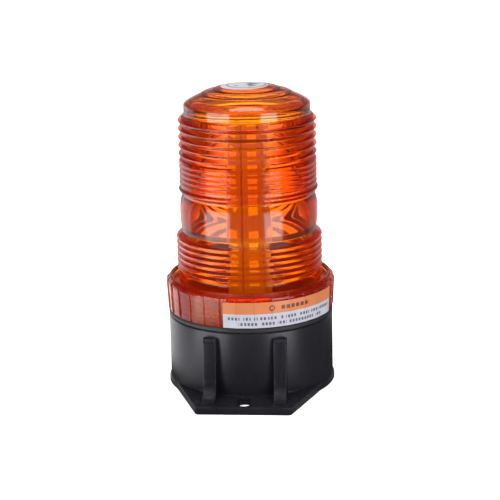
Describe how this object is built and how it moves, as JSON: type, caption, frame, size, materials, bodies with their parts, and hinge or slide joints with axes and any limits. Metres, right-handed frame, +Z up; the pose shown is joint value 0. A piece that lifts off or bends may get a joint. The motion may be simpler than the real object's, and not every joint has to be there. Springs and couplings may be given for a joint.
{
  "type": "led warning beacon",
  "caption": "Vehicle warning beacon: round black two-ear base with mounting slots, screw-on ribbed amber lens over a six-sided LED mast.",
  "frame": {"origin": "centre of the base's underside, on the lens axis, midway between the two mounting slots", "axes": "+Z up along the lens axis; +Y and -Y along the two mounting ears; +X towards the side with the cable port"},
  "size_m": [0.0932, 0.1254, 0.1658],
  "materials": {
    "housing_black": "satin moulded black plastic with rounded edges",
    "seal_black": "soft black rubber",
    "lens_amber": "clear amber moulded plastic, polished",
    "label_silver": "silver foil sticker, plain",
    "label_band": "sticker with a plain orange band over a plain silver band",
    "board_green": "green solder mask",
    "board_white": "white solder mask",
    "mast_plastic": "natural moulded plastic",
    "screw_steel": "zinc plated",
    "led_yellow": "white package with yellow phosphor window",
    "pin_brass": "tinned brass pins and solder",
    "can_sleeve": "dark shrink sleeve on an aluminium can",
    "coil_copper": "enamelled copper wire on a dark ferrite bobbin",
    "chip_black": "black moulded package, tinned legs",
    "chip_ceramic": "ceramic chip with tinned ends",
    "wire_red": "red insulation",
    "wire_black": "black insulation",
    "tie_white": "natural nylon"
  },
  "bodies": {
    "base": {"base_housing": "housing_black", "driver_board": "board_green", "board_screws": "screw_steel", "mast_foot_board": "board_white", "mast_core": "mast_plastic", "mast_top_board": "board_white", "mast_screw": "screw_steel", "led_board_1": "board_white", "led_board_2": "board_white", "led_board_3": "board_white", "led_board_4": "board_white", "led_board_5": "board_white", "led_board_6": "board_white", "leds_1": "led_yellow", "leds_2": "led_yellow", "leds_3": "led_yellow", "leds_4": "led_yellow", "leds_5": "led_yellow", "leds_6": "led_yellow", "board_pins": "pin_brass", "capacitor": "can_sleeve", "inductor": "coil_copper", "driver_chip": "chip_black", "power_transistors": "chip_black", "diodes": "chip_black", "resistors": "chip_ceramic", "floor_grommet": "seal_black", "lead_red": "wire_red", "lead_black": "wire_black", "cable_tie": "tie_white"},
    "seal": {"lens_gasket": "seal_black"},
    "screw_lens": {"lens": "lens_amber", "top_label": "label_silver", "side_label": "label_band"}
  },
  "joints": [
    {"name": "lens_rise", "type": "slide", "parent": "base", "child": "seal", "axis": [0, 0, 1], "range_m": [0, 0.00901]},
    {"name": "lens_turn", "type": "hinge", "parent": "seal", "child": "screw_lens", "pos_m": [0, 0, 0.048], "axis": [0, 0, 1], "range_deg": [0, 1296]}
  ],
  "couplings": [
    {"joint": "lens_rise", "follows": "lens_turn", "m_per_rad": 0.00039789}
  ]
}
